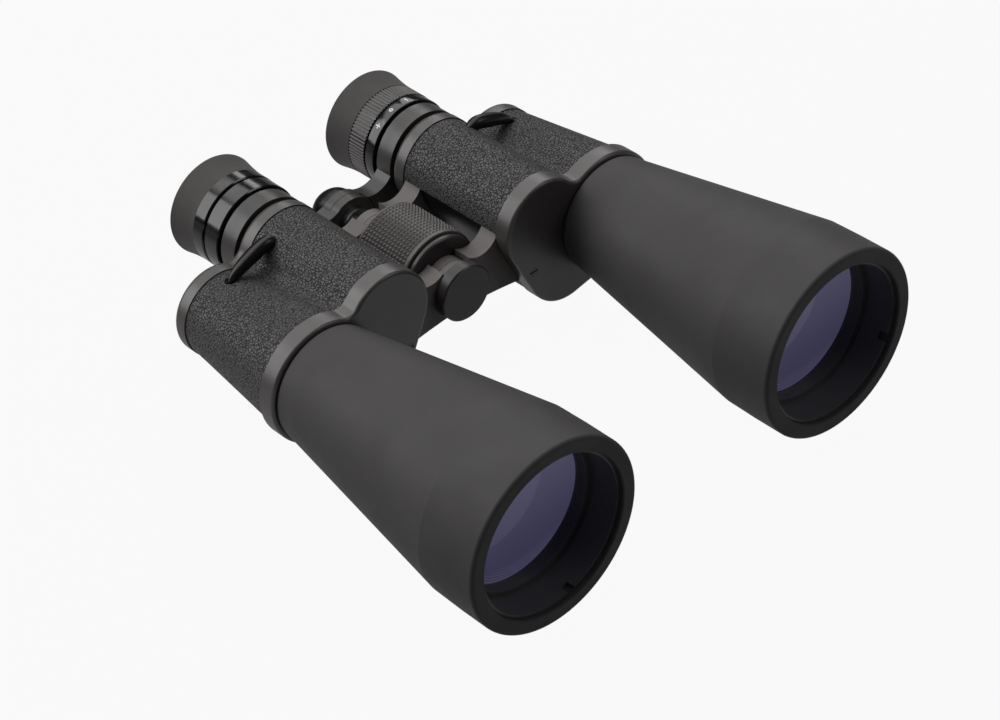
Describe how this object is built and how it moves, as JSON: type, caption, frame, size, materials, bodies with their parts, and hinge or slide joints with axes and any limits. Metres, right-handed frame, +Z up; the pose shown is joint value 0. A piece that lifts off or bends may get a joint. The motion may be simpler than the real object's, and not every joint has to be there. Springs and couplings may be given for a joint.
{
  "type": "porro prism binoculars",
  "caption": "Large black Porro-prism binoculars with tapered objective tubes, leatherette prism housings, a centre focus wheel, folding hinge, dioptre ring and rubber eyecups.",
  "frame": {"origin": "below the middle of the object's outer box, at the level of the objective tubes' lowest line", "axes": "+Z up as the object lies on a table, -Y the way the objectives look, +Y towards the eyepieces, +X towards the user's right-hand barrel, which carries the dioptre ring"},
  "size_m": [0.2048, 0.2114, 0.072],
  "materials": {
    "housing_paint": "satin black paint on a cast aluminium-alloy housing",
    "cover_paint": "smooth satin black paint on aluminium alloy",
    "leatherette": "black pebble-grained leatherette",
    "steel": "plain steel",
    "tube_paint": "matte charcoal-black coating on an aluminium tube",
    "black_anodised": "matte black anodised",
    "coated_glass": "objective glass with a blue-violet anti-reflection coating",
    "prism_glass": "clear prism glass",
    "eye_glass": "coated eyepiece glass",
    "lug_paint": "satin black painted alloy bar",
    "bridge_paint": "satin black bridge casting",
    "gloss_ring": "polished black ring",
    "eyecup_rubber": "matte black rubber",
    "hinge_metal": "satin black turned metal",
    "wheel_plastic": "black diamond-knurled grip",
    "dome_plastic": "black plastic dome"
  },
  "bodies": {
    "left_body": {"left_prism_housing": "housing_paint", "left_leatherette": "leatherette", "left_front_cover": "cover_paint", "left_rear_cover": "cover_paint", "left_front_cover_screw": "steel", "left_rear_cover_screws": "steel", "left_objective_tube": "tube_paint", "left_objective_retainer": "black_anodised", "left_objective_crown": "coated_glass", "left_objective_flint": "coated_glass", "left_rear_prism": "prism_glass", "left_front_prism": "prism_glass", "left_prism_clips": "steel", "left_strap_lug": "lug_paint", "left_ocular_guide": "black_anodised", "hinge_axle": "steel", "focus_stop_disc": "hinge_metal", "focus_spacer": "hinge_metal"},
    "right_body": {"right_prism_housing": "housing_paint", "right_leatherette": "leatherette", "right_front_cover": "cover_paint", "right_rear_cover": "cover_paint", "right_front_cover_screw": "steel", "right_rear_cover_screws": "steel", "right_objective_tube": "tube_paint", "right_objective_retainer": "black_anodised", "right_objective_crown": "coated_glass", "right_objective_flint": "coated_glass", "right_rear_prism": "prism_glass", "right_front_prism": "prism_glass", "right_prism_clips": "steel", "right_strap_lug": "lug_paint", "right_ocular_guide": "black_anodised"},
    "front_cap": {"hinge_cap": "hinge_metal"},
    "wheel": {"focus_wheel": "wheel_plastic"},
    "left_eyepiece": {"focus_spindle": "steel", "drive_pin": "steel", "bridge_cap": "dome_plastic", "left_bridge_arm": "bridge_paint", "left_ocular_tube": "black_anodised", "left_lens_cell": "black_anodised", "left_field_lens": "eye_glass", "left_eye_lens": "eye_glass", "left_eyepiece_ring": "gloss_ring", "left_eyecup": "eyecup_rubber"},
    "right_eyepiece": {"right_bridge_arm": "bridge_paint", "right_ocular_tube": "black_anodised"},
    "right_lens_carrier": {"right_lens_cell": "black_anodised", "right_field_lens": "eye_glass", "right_eye_lens": "eye_glass", "right_cell_circlip": "steel"},
    "right_dioptre": {"right_dioptre_ring": "gloss_ring", "right_eyecup": "eyecup_rubber"}
  },
  "joints": [
    {"name": "ipd_fold", "type": "hinge", "parent": "left_body", "child": "right_body", "pos_m": [0, 0.03935, 0.0351], "axis": [0, -1, 0], "range_deg": [0, 50]},
    {"name": "focus_turn", "type": "hinge", "parent": "left_body", "child": "wheel", "pos_m": [0, 0.03935, 0.0351], "axis": [0, 1, 0], "range_deg": [-40.5, 300.5]},
    {"name": "left_focus_travel", "type": "slide", "parent": "left_body", "child": "left_eyepiece", "axis": [0, 1, 0], "range_m": [-0.001, 0.0075]},
    {"name": "right_focus_travel", "type": "slide", "parent": "right_body", "child": "right_eyepiece", "axis": [0, 1, 0], "range_m": [-0.00102, 0.00752]},
    {"name": "dioptre_travel", "type": "slide", "parent": "right_eyepiece", "child": "right_lens_carrier", "axis": [0, 1, 0], "range_m": [-0.0011, 0.0011]},
    {"name": "dioptre_turn", "type": "hinge", "parent": "right_lens_carrier", "child": "right_dioptre", "pos_m": [0.03645, 0.08635, 0.04655], "axis": [0, 1, 0], "range_deg": [-75.5, 75.5]},
    {"name": "cap_unscrew", "type": "slide", "parent": "left_body", "child": "front_cap", "axis": [0, -1, 0], "range_m": [0, 0.06]}
  ],
  "couplings": [
    {"joint": "focus_turn", "follows": "left_focus_travel", "rad_per_m": 698.13},
    {"joint": "right_focus_travel", "follows": "left_focus_travel", "ratio": 1},
    {"joint": "dioptre_turn", "follows": "dioptre_travel", "rad_per_m": 1190}
  ]
}
